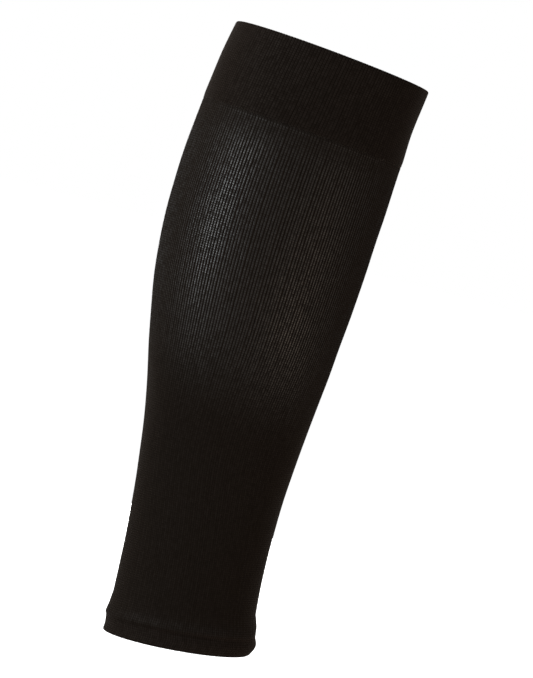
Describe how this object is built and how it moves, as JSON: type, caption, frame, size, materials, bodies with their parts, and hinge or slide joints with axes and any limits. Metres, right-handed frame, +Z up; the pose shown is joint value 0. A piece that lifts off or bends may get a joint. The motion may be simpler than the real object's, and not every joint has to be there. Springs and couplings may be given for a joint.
{
  "type": "calf compression sleeve",
  "caption": "Seamless knitted compression sleeve for the lower leg, in its worn shape: an open tube with a broad turned cuff, a ribbed calf, a dense ankle and a narrow turned hem.",
  "frame": {"origin": "middle of the ankle opening, at the hem's rim, where the leg comes out of the sleeve", "axes": "+Z up the leg to the middle of the knee opening, +X to the shin, -X to the calf, Y across the leg"},
  "size_m": [0.1265, 0.1136, 0.3509],
  "materials": {
    "cuff_knit": "matt black nylon and elastane, knit folded double",
    "rib_knit": "black nylon and elastane rib with a soft sheen",
    "dense_knit": "matt black nylon and elastane, close knit",
    "hem_knit": "matt black nylon and elastane, knit folded double"
  },
  "bodies": {
    "root": {"top_cuff": "cuff_knit", "calf_panel": "rib_knit", "ankle_panel": "dense_knit", "ankle_hem": "hem_knit"}
  },
  "joints": []
}
